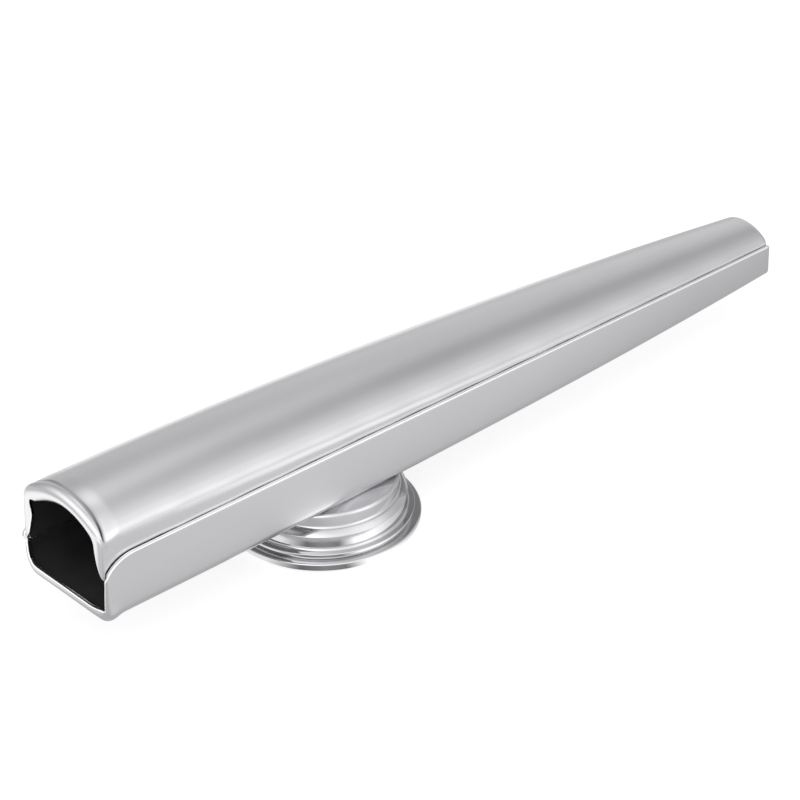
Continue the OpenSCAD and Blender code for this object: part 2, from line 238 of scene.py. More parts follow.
lit = light_edge(ALONG_Y, *UNDER_EDGE, UNDER_LEVEL, NEAR_LEVEL)
lit = lay_light(lit, NEAR_LIGHT, light_edge(ALONG_Y, *NEAR_EDGE),
                light_edge(NEAR_SLANT, *NEAR_START), light_edge(NEAR_SLANT, *NEAR_END))
lit = lay_light(lit, FAR_LIGHT, light_edge(ALONG_Y, *FAR_EDGE), light_edge(ALONG_Y, *FAR_LIMIT),
                light_edge(FAR_SLANT, *FAR_START), light_edge(FAR_SLANT, *FAR_END))
front_side = add_node(tree, "ShaderNodeMath", {"operation": "MAXIMUM"}, {
    0: light_edge(ALONG_Y, *FRONT_FAR_HALF), 1: light_edge(ALONG_X, *FRONT_FURTHER_OUT)})
lit = lay_light(lit, FRONT_LIGHT, light_edge(FRONT_SLANT, *FRONT_EDGE),
                light_edge(ALONG_Y, *FRONT_LIMIT), front_side.outputs[0])

dark_spot = add_node(tree, "ShaderNodeMapping", {
    "vector_type": "TEXTURE", "Location": SPOT_PLACE, "Scale": SPOT_SIZE}, {"Vector": spot})
from_spot = add_node(tree, "ShaderNodeVectorMath", {"operation": "LENGTH"},
                     {0: dark_spot.outputs[0]})
spot_edge = add_node(tree, "ShaderNodeMapRange", {
    "interpolation_type": "SMOOTHSTEP", "To Min": SPOT_DEPTH, "To Max": 0.0},
    {"Value": from_spot.outputs["Value"]})
lit = add_node(tree, "ShaderNodeMath", {"operation": "SUBTRACT"},
               {0: lit, 1: spot_edge.outputs[0]}).outputs[0]

about = add_node(tree, "ShaderNodeVectorMath", {"operation": "SUBTRACT", 1: TURRET_PLACE},
                 {0: spot})
about_xy = add_node(tree, "ShaderNodeSeparateXYZ", {}, {0: about.outputs[0]})
bearing = add_node(tree, "ShaderNodeMath", {"operation": "ARCTAN2"}, {
    0: about_xy.outputs["Y"], 1: about_xy.outputs["X"]})
turned = add_node(tree, "ShaderNodeMapRange", {"From Min": -math.pi, "From Max": math.pi},
                  {"Value": bearing.outputs[0]})
ring_light = add_node(tree, "ShaderNodeValToRGB", {}, {0: turned.outputs[0]})
stops = ring_light.color_ramp.elements
for number, (degrees, grey) in enumerate(ROUND_TURRET):
    stop = stops[number] if number < 2 else stops.new(1.0)
    stop.position = (degrees + 180) / 360
    stop.color = (grey, grey, grey, 1.0)
from_turret = add_node(tree, "ShaderNodeVectorMath", {"operation": "LENGTH"},
                       {0: about.outputs[0]})
near_turret = add_node(tree, "ShaderNodeMapRange", {
    "interpolation_type": "SMOOTHSTEP", "From Min": TURRET_INNER, "From Max": TURRET_OUTER,
    "To Min": 1.0, "To Max": 0.0}, {"Value": from_turret.outputs["Value"]})
for_metal = add_node(tree, "ShaderNodeMix", {"data_type": "FLOAT"}, {
    0: near_turret.outputs[0], 2: lit, 3: ring_light.outputs[0]})

bright = add_node(tree, "ShaderNodeMix", {"data_type": "FLOAT", 3: PAPER_LIFT},
                  {0: paths.outputs["Is Camera Ray"], 2: for_metal.outputs[0]})
mirrored = add_node(tree, "ShaderNodeMath", {"operation": "MAXIMUM"}, {
    0: paths.outputs["Is Glossy Ray"], 1: paths.outputs["Is Transmission Ray"]})
visible = add_node(tree, "ShaderNodeMath", {"operation": "MAXIMUM"}, {
    0: mirrored.outputs[0], 1: paths.outputs["Is Camera Ray"]})
strength = add_node(tree, "ShaderNodeMath", {"operation": "MULTIPLY"}, {
    0: bright.outputs[0], 1: visible.outputs[0]})
lift = add_node(tree, "ShaderNodeEmission", {}, {"Strength": strength.outputs[0]})
diffuse = add_node(tree, "ShaderNodeBsdfDiffuse", {
    "Color": (PAPER_SHARE, PAPER_SHARE, PAPER_SHARE, 1.0)})
both = add_node(tree, "ShaderNodeAddShader", {}, {0: diffuse.outputs[0], 1: lift.outputs[0]})
add_node(tree, "ShaderNodeOutputMaterial", {}, {"Surface": both.outputs[0]})

bm = bmesh.new()
bmesh.ops.create_grid(bm, x_segments=4, y_segments=4, size=FLOOR_HALF_WIDTH)
mesh = bpy.data.meshes.new("floor")
bm.to_mesh(mesh)
bm.free()
mesh.materials.append(paper)
floor = bpy.data.objects.new("floor", mesh)
bpy.context.scene.collection.objects.link(floor)


# Flat shell. The lower half of the body, a channel folded from 0.55 mm steel sheet and
# plated with satin chrome. Its walls lap the dome from outside, its front edge is curled
# in to a soft lip, and the turret's tube is clinched into the hole in its floor.
MM = 0.001
BODY_LENGTH = 120.0
SHEET = 0.55
MOUTH_WIDTH, EXIT_WIDTH, WIDTH_CURVE = 17.0, 9.3, 2.6
MOUTH_SIDE, EXIT_SIDE, SIDE_CURVE = 9.1, 4.75, 2.15
MOUTH_EDGE_RADIUS, EXIT_EDGE_RADIUS = 1.5, 1.1
CORNER_LENGTH, CORNER_HEIGHT = 5.0, 4.0
STANDING_HEIGHT = 7.05
TURRET_AXIS = 42.3
TUBE_HOLE_RADIUS = 5.85
# The grid: rows in the front stretch and behind it, the first row's step at the cut edge,
# and the shares of the columns, from a wall's top, where the wall and the bottom edge end
FRONT_LENGTH = 5.0
FRONT_ROWS, BODY_ROWS = 56, 230
EDGE_STEP = 0.22
CHANNEL_COLUMNS = 40
WALL_END, EDGE_END = 0.45, 0.75
# The lips: turned in a little on the walls, standing up as a low flange on the floor
LIP_RADIUS = 1.0
WALL_LIP_ANGLE = 50.0
WALL_LIP_FRONT = LIP_RADIUS * (1 - math.sin(math.radians(WALL_LIP_ANGLE)))
WALL_LIP_RADIUS_HIGH, WALL_LIP_RADIUS_LOW = 0.7, 1.5
FLOOR_LIP_ANGLE, FLOOR_LIP_RISE = 90.0, 0.5
# The near bottom corner: a web of metal between the lips, and the belly pushed out behind it
CORNER_WEB, CORNER_WEB_HEIGHT, CORNER_WEB_START = 0.5, 3.6, 0.6
BELLY, BELLY_X, BELLY_REACH, BELLY_HEIGHT, BELLY_FADE = 0.35, 1.5, 1.1, 3.0, 0.3
# The far bottom corner has been squeezed: it is rounder, the wall above it leans out and is
# bent down at the front, and its lip is turned in further, from these shares of the columns
FAR_WIDER, FAR_TALLER, FAR_LEAN, FAR_RUN = 1.6, 1.6, 0.3, 16.0
FAR_CORNER_LENGTH, FAR_CORNER_HEIGHT = 8.0, 4.7
FAR_LIP_ANGLE, FAR_LIP_WIDER = 90.0, 0.5
FAR_LIP_START, FAR_LIP_FULL = -0.08, 0.22
# The cut edge: its corners deburred, painted shade laid over it on the floor's lip inside a
# border painted bright like the corners, up to this reach and height, and a burr left along
# that lip's near half
DEBURR = 0.1
LIP_SHADE_REACH, LIP_SHADE_HEIGHT, LIP_SHADE_BORDER = 0.4, 2.1, 0.1
BURR, BURR_X = 0.12, 0.4
BURR_INNER_END, BURR_OUTER_END = (1.5, -1.0), (-6.8, -6.0)


def taper(at_mouth, at_exit, curve, x):
    """A size of the cross-section at a distance x from the mouth, in millimetres."""
    return at_mouth - (at_mouth - at_exit) * (max(x, 0.0) / BODY_LENGTH) ** curve


def half_width(x):
    return taper(MOUTH_WIDTH, EXIT_WIDTH, WIDTH_CURVE, x) / 2


def side_height(x):
    return taper(MOUTH_SIDE, EXIT_SIDE, SIDE_CURVE, x)


def smooth_share(value, start, end):
    """Share of the way from start to end, easing in and out, 0 before and 1 after."""
    share = min(1.0, max(0.0, (value - start) / (end - start)))
    return share * share * (3 - 2 * share)


def wall_top(x, side=-1.0):
    """Top of a side wall, its front corner rounded off; the far one has been bent down."""
    if side > 0:
        t = min(1.0, max(0.0, 1 - x / FAR_CORNER_LENGTH))
        return side_height(x) - FAR_CORNER_HEIGHT * t * t
    t = min(1.0, max(0.0, 1 - x / CORNER_LENGTH))
    return side_height(x) - CORNER_HEIGHT * (1 - math.sqrt(1 - t * t))


def channel_point(x, t, side):
    """Outline of the channel, t from 0 at a wall's top to 1 in the middle of its floor:
    distance from the middle, height, and the two parts of the inward direction."""
    hw, top = half_width(x), wall_top(x, side)
    r = taper(MOUTH_EDGE_RADIUS, EXIT_EDGE_RADIUS, 1.0, x)
    squeezed = smooth_share(x, FAR_RUN, 0.0) if side > 0 else 0.0
    wide, tall = r + FAR_WIDER * squeezed, r + FAR_TALLER * squeezed
    if t <= WALL_END:
        z = top + (tall - top) * t / WALL_END
        return hw + FAR_LEAN * squeezed * smooth_share(z, tall, top), z, -1.0, 0.0
    if t <= EDGE_END:
        a = math.radians(90) * (t - WALL_END) / (EDGE_END - WALL_END)
        return (hw - wide + wide * math.cos(a), tall - tall * math.sin(a),
                -math.cos(a), math.sin(a))
    return (hw - wide) * (1 - t) / (1 - EDGE_END), 0.0, 0.0, 1.0


def front_path(row, angle, deep, radius, centre, flange=0.0):
    """Where a row of the front stretch lies, along the body and inwards. The sheet's edge
    is a straight flange, then comes the lip's bend about a centre, then the straight sheet.
    The flange never runs out in front of the lip."""
    turn = math.radians(angle)
    bend = turn * (deep + radius) / 2
    length = flange + bend + FRONT_LENGTH - centre
    s = 0.0 if row == 0 else EDGE_STEP + (length - EDGE_STEP) * (row - 1) / (FRONT_ROWS - 1)
    if s >= flange + bend:
        return centre + s - flange - bend, 0.0
    a, past = turn * min(1.0, (flange + bend - s) / bend), max(0.0, flange - s)
    return (centre - deep * math.sin(a) - past * min(0.0, math.cos(turn)),
            radius * (1 - math.cos(a)) + past * math.sin(turn))


def body_x(row):
    """Distance from the mouth of a row behind the front stretch."""
    return FRONT_LENGTH + (BODY_LENGTH - FRONT_LENGTH) * (row - FRONT_ROWS) / BODY_ROWS


def sheet_from_grid(columns, shape):
    """A sheet's outer face: a grid whose points are put in place by shape(row, side, t),
    where side is -1 or 1 across the middle and t runs from an edge to the middle. It also
    keeps with the mesh the share of painted shade each point gets in the crease's bottom line."""
    bm = bmesh.new()
    last = FRONT_ROWS + BODY_ROWS
    bmesh.ops.create_grid(bm, x_segments=last, y_segments=2 * columns, size=1)
    crease_painted_shade = bm.verts.layers.float.new("crease_painted_shade")
    for v in bm.verts:
        row = round((v.co.x + 1) / 2 * last)
        across = v.co.y
        t = round((1 - abs(across)) * columns) / columns
        x, y, z, v[crease_painted_shade] = shape(row, 1.0 if across >= 0 else -1.0, t)
        v.co = ((x - BODY_LENGTH / 2) * MM, y * MM, (z + STANDING_HEIGHT) * MM)
    return bm


def channel_shape(row, side, t):
    """The channel's sheet. Its lips turn in by different angles on the walls and the floor,
    and blend into each other round the bottom corners."""
    if row > FRONT_ROWS:
        y, z, _, _ = channel_point(body_x(row), t, side)
        return body_x(row), side * y, z, 0.0
    _, z, iy, iz = channel_point(WALL_LIP_FRONT, t, side)
    angle = WALL_LIP_ANGLE
    low = 1 - min(1.0, max(0.0, z / wall_top(WALL_LIP_FRONT, side)))
    radius = WALL_LIP_RADIUS_HIGH + (WALL_LIP_RADIUS_LOW - WALL_LIP_RADIUS_HIGH) * low
    if side > 0:
        turned = smooth_share(t, FAR_LIP_START, FAR_LIP_FULL)
        angle += (FAR_LIP_ANGLE - WALL_LIP_ANGLE) * turned
        radius = WALL_LIP_RADIUS_HIGH + FAR_LIP_WIDER * turned
    centre = WALL_LIP_FRONT + radius * math.sin(math.radians(angle))
    wall_x, wall_in = front_path(row, angle, radius, radius, centre)
    floor_x, floor_in = front_path(row, FLOOR_LIP_ANGLE, LIP_RADIUS, LIP_RADIUS, LIP_RADIUS,
                                   FLOOR_LIP_RISE)
    x = wall_x * iy * iy + floor_x * iz * iz
    y, z, iy, iz = channel_point(x, t, side)
    web = belly = 0.0
    if side < 0:
        wall_share = wall_in / (radius * (1 - math.cos(math.radians(WALL_LIP_ANGLE))))
        floor_share = floor_in / (LIP_RADIUS + FLOOR_LIP_RISE)
        turned_in = min(1.0, max(wall_share * iy * iy, floor_share * iz * iz))
        web = (CORNER_WEB * turned_in * smooth_share(y / half_width(x), CORNER_WEB_START, 1.0)
               * smooth_share(z, CORNER_WEB_HEIGHT, 0.0))
        belly = (BELLY * math.exp(-((x - BELLY_X) / BELLY_REACH) ** 2)
                 * min(1.0, (1 - t) / BELLY_FADE) * max(0.0, 1 - z / BELLY_HEIGHT) ** 1.5)
    y += (wall_in - belly) * iy
    z += (floor_in - belly) * iz + web
    return x, side * y, z, 0.0


bm = sheet_from_grid(CHANNEL_COLUMNS, channel_shape)

# The hole for the turret's tube: faces inside it go, and its rim is drawn on to the circle
turret_top = Vector(((TURRET_AXIS - BODY_LENGTH / 2) * MM, 0.0, STANDING_HEIGHT * MM))
gone = [f for f in bm.faces
        if (f.calc_center_median() - turret_top).length < TUBE_HOLE_RADIUS * MM]
bmesh.ops.delete(bm, geom=gone, context="FACES")
for v in bm.verts:
    off = v.co - turret_top
    if v.is_boundary and off.length < 2 * TUBE_HOLE_RADIUS * MM and abs(off.z) < SHEET * MM:
        v.co = turret_top + off.normalized() * TUBE_HOLE_RADIUS * MM
bmesh.ops.recalc_face_normals(bm, faces=bm.faces[:])


def finish_piece(name, bm, materials, body, slot, *nodes):
    """Makes the piece's object at the origin, puts it under its body and hides its CAD nodes;
    slot is not used.
    """
    mesh = bpy.data.meshes.new(name)
    bm.to_mesh(mesh)
    bm.free()
    for material in materials:
        mesh.materials.append(material)
    mesh.shade_smooth()
    piece = bpy.data.objects.new(name, mesh)
    bpy.context.scene.collection.objects.link(piece)
    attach(piece, body)
    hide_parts(*nodes)
    return piece


# A sheet's materials by number: outer face, inner face, cut edge, and that edge's corners
INSIDE, CUT_EDGE, CUT_CORNER = 1, 2, 3


def thicken(piece):
    """Gives a sheet its thickness on the inside, with inner faces painted near black as shade
    and plated cut edges, rounds the corners of those edges and gives them a painted highlight,
    and lays the inside's painted shade over the cut edge of the floor's lip."""
    wall = piece.modifiers.new("sheet", "SOLIDIFY")
    wall.thickness = SHEET * MM
    wall.offset = -1.0
    wall.use_even_offset = True
    wall.material_offset = INSIDE
    wall.material_offset_rim = CUT_EDGE
    thick = bpy.data.meshes.new_from_object(
        piece.evaluated_get(bpy.context.evaluated_depsgraph_get()))
    piece.modifiers.remove(wall)
    bm = bmesh.new()
    bm.from_mesh(thick)
    bpy.data.meshes.remove(thick)
    corners = [e for e in bm.edges if len({f.material_index for f in e.link_faces}) == 2
               and any(f.material_index == CUT_EDGE for f in e.link_faces)
               and (e.verts[0].co - turret_top).length > 1.5 * TUBE_HOLE_RADIUS * MM]
    bmesh.ops.bevel(bm, geom=corners, offset=DEBURR * MM, offset_type="OFFSET", segments=2,
                    profile=0.5, affect="EDGES", clamp_overlap=False, material=CUT_CORNER)
    # Painted shade: the floor lip's cut edge takes the dark inside colour, in a
    # painted-highlight border
    front = (LIP_RADIUS + SHEET + LIP_SHADE_REACH - BODY_LENGTH / 2) * MM
    lip_shade_faces = [f for f in bm.faces if f.material_index == CUT_EDGE
            and f.calc_center_median().x < front
            and f.calc_center_median().z < (STANDING_HEIGHT + LIP_SHADE_HEIGHT) * MM]
    if lip_shade_faces:
        border = bmesh.ops.inset_region(bm, faces=lip_shade_faces, thickness=LIP_SHADE_BORDER * MM,
                                        use_even_offset=False)["faces"]
        for f in border:
            f.material_index = CUT_CORNER
        for v in {v for f in border for v in f.verts}:
            x, y = v.co.x / MM + BODY_LENGTH / 2, v.co.y / MM
            if x > BURR_X:
                v.co.z += (BURR * MM * smooth_share(y, *BURR_INNER_END)
                           * smooth_share(y, *BURR_OUTER_END))
        for f in lip_shade_faces:
            f.material_index = INSIDE
    for v in bm.verts:
        v.co.x = max(v.co.x, -BODY_LENGTH / 2 * MM)
    bm.to_mesh(piece.data)
    bm.free()
    piece.data.shade_smooth()


# Satin chrome plate on pressed steel: neutral grey metal, its reflections blurred by the
# fine blasting under the plate, and the sheet slightly wavy, in waves four times as long
# along the body, where the press drew it. The bottom line of the crease is painted dark,
# as painted shade.
SATIN_LIGHT, SATIN_DARK, CREASE_PAINTED_SHADE = "#c8c8ca", "#c1c1c4", "#1e1e20"
SATIN_CLOUD, SATIN_RIPPLE, SATIN_SWELL = 16.7 * MM, 2.86 * MM, 9.1 * MM
SATIN_DRAWN = (0.25, 1.0, 1.0)
satin, tree = new_material("satin_chrome_plate")
spot = add_node(tree, "ShaderNodeTexCoord").outputs["Object"]
cloud = add_node(tree, "ShaderNodeTexNoise", {
    "Scale": 1 / SATIN_CLOUD, "Detail": 3.0, "Roughness": 0.5}, {"Vector": spot})
tone = add_node(tree, "ShaderNodeMix", {
    "data_type": "RGBA", 6: linear(SATIN_DARK), 7: linear(SATIN_LIGHT)},
    {0: cloud.outputs[0]})
# Painted shade: the crease's bottom line is darkened by the share kept with the mesh
crease_shade_share = add_node(tree, "ShaderNodeAttribute", {"attribute_name": "crease_painted_shade"})
tone = add_node(tree, "ShaderNodeMix", {"data_type": "RGBA", 7: linear(CREASE_PAINTED_SHADE)}, {
    0: crease_shade_share.outputs["Fac"], 6: tone.outputs[2]})
gloss = add_node(tree, "ShaderNodeMapRange", {"To Min": 0.2, "To Max": 0.26},
                 {"Value": cloud.outputs[0]})
drawn = add_node(tree, "ShaderNodeMapping", {"Scale": SATIN_DRAWN}, {"Vector": spot})
wave = add_node(tree, "ShaderNodeTexNoise", {
    "Scale": 1 / SATIN_RIPPLE, "Detail": 2.0, "Roughness": 0.45}, {"Vector": drawn.outputs[0]})
ripple = add_node(tree, "ShaderNodeBump", {"Strength": 0.35, "Distance": 0.02 * MM},
                  {"Height": wave.outputs[0]})
swell = add_node(tree, "ShaderNodeTexNoise", {
    "Scale": 1 / SATIN_SWELL, "Detail": 1.0, "Roughness": 0.4}, {"Vector": drawn.outputs[0]})
draw = add_node(tree, "ShaderNodeBump", {"Strength": 1.0, "Distance": 0.12 * MM},
                {"Height": swell.outputs[0], "Normal": ripple.outputs[0]})
metal = add_node(tree, "ShaderNodeBsdfPrincipled", {"Metallic": 1.0}, {
    "Base Color": tone.outputs[2], "Roughness": gloss.outputs[0],
    "Normal": draw.outputs[0]})
add_node(tree, "ShaderNodeOutputMaterial", {}, {"Surface": metal.outputs[0]})

# Inside of the body: near black, dull and a little uneven, painted shade for the dark inside.
DARK_LIGHT, DARK_DEEP = "#3a3a3b", "#2b2b2c"
INSIDE_CLOUD = 2.5 * MM
inside_shade, tree = new_material("inside_painted_shade")
spot = add_node(tree, "ShaderNodeTexCoord").outputs["Object"]
cloud = add_node(tree, "ShaderNodeTexNoise", {"Scale": 1 / INSIDE_CLOUD, "Detail": 3.0},
                 {"Vector": spot})
tone = add_node(tree, "ShaderNodeMix", {
    "data_type": "RGBA", 6: linear(DARK_DEEP), 7: linear(DARK_LIGHT)},
    {0: cloud.outputs[0]})
gloss = add_node(tree, "ShaderNodeMapRange", {"To Min": 0.6, "To Max": 0.8},
                 {"Value": cloud.outputs[0]})
grain = add_node(tree, "ShaderNodeBump", {"Strength": 0.3, "Distance": 0.03 * MM},
                 {"Height": cloud.outputs[0]})
inside_surface = add_node(tree, "ShaderNodeBsdfPrincipled", {"Specular IOR Level": 0.15}, {
    "Base Color": tone.outputs[2], "Roughness": gloss.outputs[0],
    "Normal": grain.outputs[0]})
add_node(tree, "ShaderNodeOutputMaterial", {}, {"Surface": inside_surface.outputs[0]})

# Sheared sheet edge, plated over: smoother than the satin faces, with lines from the shear
# that are drawn coarser than they are. Behind the mouth it is painted near white: painted
# highlight.
EDGE_LIGHT, EDGE_DARK, SEAM_HIGHLIGHT = "#cfcfd0", "#bdbdbf", "#f6f6f6"
SHEAR_LINE = 1.11 * MM
SEAM_HIGHLIGHT_START, SEAM_HIGHLIGHT_FULL = -58.8 * MM, -56.8 * MM
sheared, tree = new_material("plated_sheared_edge")
spot = add_node(tree, "ShaderNodeTexCoord").outputs["Object"]
place = add_node(tree, "ShaderNodeSeparateXYZ", {}, {0: spot})
lines = add_node(tree, "ShaderNodeTexNoise", {"Scale": 1 / SHEAR_LINE, "Detail": 2.0},
                 {"Vector": spot})
plain = add_node(tree, "ShaderNodeMix", {
    "data_type": "RGBA", 6: linear(EDGE_DARK), 7: linear(EDGE_LIGHT)}, {0: lines.outputs[0]})
# Painted highlight: the edge turns near white from just behind the mouth
seam_highlight_share = add_node(tree, "ShaderNodeMapRange", {
    "From Min": SEAM_HIGHLIGHT_START, "From Max": SEAM_HIGHLIGHT_FULL}, {"Value": place.outputs["X"]})
tone = add_node(tree, "ShaderNodeMix", {"data_type": "RGBA", 7: linear(SEAM_HIGHLIGHT)}, {
    0: seam_highlight_share.outputs[0], 6: plain.outputs[2]})
gloss = add_node(tree, "ShaderNodeMapRange", {"To Min": 0.1, "To Max": 0.18},
                 {"Value": lines.outputs[0]})
metal = add_node(tree, "ShaderNodeBsdfPrincipled", {"Metallic": 1.0}, {
    "Base Color": tone.outputs[2], "Roughness": gloss.outputs[0]})
add_node(tree, "ShaderNodeOutputMaterial", {}, {"Surface": metal.outputs[0]})

# Corners of the cut edges, burnished in the tumbling barrel before plating, and given
# near-white metal as a painted highlight, so that they show as thin white lines, dulled a
# little by small nicks.
CORNER_HIGHLIGHT_LIGHT, CORNER_HIGHLIGHT_DARK = "#fafafa", "#e6e6e7"
NICK = 0.667 * MM
burnished_highlight, tree = new_material("burnished_corner_painted_highlight")
spot = add_node(tree, "ShaderNodeTexCoord").outputs["Object"]
nicks = add_node(tree, "ShaderNodeTexNoise", {"Scale": 1 / NICK, "Detail": 3.0},
                 {"Vector": spot})
tone = add_node(tree, "ShaderNodeMix", {
    "data_type": "RGBA", 6: linear(CORNER_HIGHLIGHT_DARK), 7: linear(CORNER_HIGHLIGHT_LIGHT)},
    {0: nicks.outputs[0]})
gloss = add_node(tree, "ShaderNodeMapRange", {"To Min": 0.25, "To Max": 0.4},
                 {"Value": nicks.outputs[0]})
metal = add_node(tree, "ShaderNodeBsdfPrincipled", {"Metallic": 1.0}, {
    "Base Color": tone.outputs[2], "Roughness": gloss.outputs[0]})
add_node(tree, "ShaderNodeOutputMaterial", {}, {"Surface": metal.outputs[0]})

flat_shell = finish_piece("flat_shell_sheet", bm, (satin, inside_shade, sheared, burnished_highlight),
                          "body", "channel_plating", "flat_shell")
thicken(flat_shell)


# Domed shell. The upper half, arched from the same sheet and pushed down between the
# channel's walls. Its front edge is rolled in to a bead with a pressed crease behind it,
# and on the far side that bead is wider and ends in a short straight flange.
SEAM_GAP = 0.12
MOUTH_HEIGHT, EXIT_HEIGHT, HEIGHT_CURVE = 15.4, 6.8, 1.55
CROWN_SHARE, SHOULDER_SHARE = 1.52, 0.36
DOME_COLUMNS = 56
# Shares of the columns, from a foot, where the flank and the shoulder end
FLANK_END, SHOULDER_END = 0.3, 0.6
DOME_LIP_ANGLE = 150.0
DOME_LIP_REST = 0.05
DOME_LIP_FOOT = wall_top(WALL_LIP_FRONT) - 0.1
DOME_LIP_CURVE = 0.5
FLANK_SETBACK = 1.7
SETBACK_HEIGHT = 1.5
# Half thickness of the rolled lip, and how far behind it the crease is deepest, on the
# flanks and on the crown, with the heights that the crown's values start from and reach
LIP_DEEP_LOW, LIP_DEEP_HIGH = 0.6, 1.05
CREASE_BACK_LOW, CREASE_BACK_HIGH = 0.3, 0.45
LIP_CROWN = (12.2, 15.0)
CREASE_RUN_OUT = 2.6
# Depth of the crease on the flanks, the crown and, added there, on the shoulders, with the
# share of the columns where the shoulders lie
CREASE_FLANK, CREASE_CROWN, CREASE_SHOULDER = 0.03, 0.08, 0.2
CREASE_FLANK_RISE, CREASE_CROWN_RISE = (7.0, 8.5), (10.6, 12.6)
SHOULDER_AT, SHOULDER_SPREAD = 0.53, 0.15
# Painted shade along the crease's bottom line: its width, its darkness on the crown, and
# what the shoulders and far side add
LINE_WIDTH, LINE_CROWN, LINE_SHOULDER, LINE_FAR = 0.3, 0.35, 0.65, 0.3
# The far side: where it starts, a crease further back and shallower, a wider lip and its
# flange, each with the distance across or the heights where it comes in and goes out
FAR_SIDE = (0.0, 4.0)
FAR_CREASE_BACK, FAR_CREASE_LOSS = 0.25, 0.85
FAR_LIP_FOOT = 4.6
FAR_LIP_EXTRA, FAR_EXTRA_ACROSS, FAR_EXTRA_RISE = 0.3, (-1.5, 5.5), (11.5, 13.5)
FAR_FLANGE, FAR_FLANGE_IN, FAR_FLANGE_OUT = 0.7, (4.2, 6.2), (11.3, 8.6)
# The flanks are sprung out towards the walls: behind the mouth the gap is finer and wanders
SPRING, SPRING_WANDER, SPRING_PITCH, SPRING_START = 0.07, 0.02, 9.1, (9.0, 14.0)


def dome_point(x, t):
    """Outline of the dome, t from 0 at a foot to 1 at the crown, as channel_point."""
    hw = half_width(x) - SHEET - SEAM_GAP
    crown_r, shoulder_r = CROWN_SHARE * hw, SHOULDER_SHARE * hw
    crown_z = taper(MOUTH_HEIGHT, EXIT_HEIGHT, HEIGHT_CURVE, x) - crown_r
    rise = math.sqrt((crown_r - shoulder_r) ** 2 - (hw - shoulder_r) ** 2)
    turn = math.atan2(rise, hw - shoulder_r)
    shoulder_z = crown_z + rise
    foot = side_height(x) / 2
    if t <= FLANK_END:
        return hw, foot + (shoulder_z - foot) * t / FLANK_END, -1.0, 0.0
    if t <= SHOULDER_END:
        a = turn * (t - FLANK_END) / (SHOULDER_END - FLANK_END)
        return (hw - shoulder_r + shoulder_r * math.cos(a),
                shoulder_z + shoulder_r * math.sin(a), -math.cos(a), -math.sin(a))
    a = turn + (math.pi / 2 - turn) * (t - SHOULDER_END) / (1 - SHOULDER_END)
    return crown_r * math.cos(a), crown_z + crown_r * math.sin(a), -math.cos(a), -math.sin(a)


def dome_lip_share(z, foot):
    """Share of its full turn that the lip has at a height, growing from its foot."""
    grown = min(1.0, max(0.0, (z - foot) / (MOUTH_HEIGHT - foot)))
    return DOME_LIP_REST + (1 - DOME_LIP_REST) * grown ** DOME_LIP_CURVE


def setback(z, foot):
    """How far the flank's front edge is cut back below the lip's foot."""
    return FLANK_SETBACK * min(1.0, max(0.0, (foot - z) / SETBACK_HEIGHT))


def crease(x, z, t, deep, across):
    """Depth of the crease behind the bead, deepest on the shoulders and thin on the crown,
    and the share of painted shade its bottom line gives a point."""
    far = smooth_share(across, *FAR_SIDE)
    back = CREASE_BACK_LOW + (CREASE_BACK_HIGH - CREASE_BACK_LOW) * smooth_share(z, *LIP_CROWN)
    back += FAR_CREASE_BACK * far
    bottom = deep + back
    if x < bottom:
        profile = min(1.0, max(0.0, (x - deep) / back)) ** 1.6
    else:
        profile = smooth_share(x, bottom + CREASE_RUN_OUT, bottom)
    shoulder = math.exp(-((t - SHOULDER_AT) / SHOULDER_SPREAD) ** 2)
    high = smooth_share(z, *CREASE_CROWN_RISE)
    depth = profile * (high * (CREASE_CROWN + CREASE_SHOULDER * shoulder)
                       + CREASE_FLANK * smooth_share(z, *CREASE_FLANK_RISE))
    depth *= 1 - FAR_CREASE_LOSS * far
    strong = min(1.0, LINE_CROWN + LINE_SHOULDER * shoulder + LINE_FAR * far)
    line = math.exp(-((x - bottom) / LINE_WIDTH) ** 2) * high * strong
    return depth, line


def spring(x):
    """How far the flanks have sprung out into the gap at a distance from the mouth."""
    tight = SPRING + SPRING_WANDER * math.sin(2 * math.pi * x / SPRING_PITCH)
    return tight * smooth_share(x, *SPRING_START)


def dome_shape(row, side, t):
    """The dome's sheet, with its lip rolled in further the higher it stands."""
    if row > FRONT_ROWS:
        x = body_x(row)
        y, z, iy, _ = dome_point(x, t)
        return x, side * (y + spring(x) * iy * iy), z, 0.0
    y0, z0, _, _ = dome_point(0.0, t)
    foot, flange = DOME_LIP_FOOT, 0.0
    if side > 0:
        foot = FAR_LIP_FOOT
        flange = (FAR_FLANGE * smooth_share(z0, *FAR_FLANGE_IN)
                  * smooth_share(z0, *FAR_FLANGE_OUT))
    angle = DOME_LIP_ANGLE * dome_lip_share(z0, foot)
    radius = (LIP_RADIUS + FAR_LIP_EXTRA * smooth_share(side * y0, *FAR_EXTRA_ACROSS)
              * smooth_share(z0, *FAR_EXTRA_RISE))
    deep = LIP_DEEP_LOW + (LIP_DEEP_HIGH - LIP_DEEP_LOW) * smooth_share(z0, *LIP_CROWN)
    x, inset = front_path(row, angle, deep, radius, deep, flange)
    y, z, iy, iz = dome_point(x, t)
    depth, line = crease(x, z, t, deep, side * y) if inset == 0.0 else (0.0, 0.0)
    inset += depth
    x += setback(z0, foot) * max(0.0, 1 - x / FRONT_LENGTH)
    return x, side * (y + inset * iy), z + inset * iz, line


bm = sheet_from_grid(DOME_COLUMNS, dome_shape)
bmesh.ops.recalc_face_normals(bm, faces=bm.faces[:])
domed_shell = finish_piece("domed_shell_sheet", bm, (satin, inside_shade, sheared, burnished_highlight),
                           "body", "dome_plating", "domed_shell")
thicken(domed_shell)


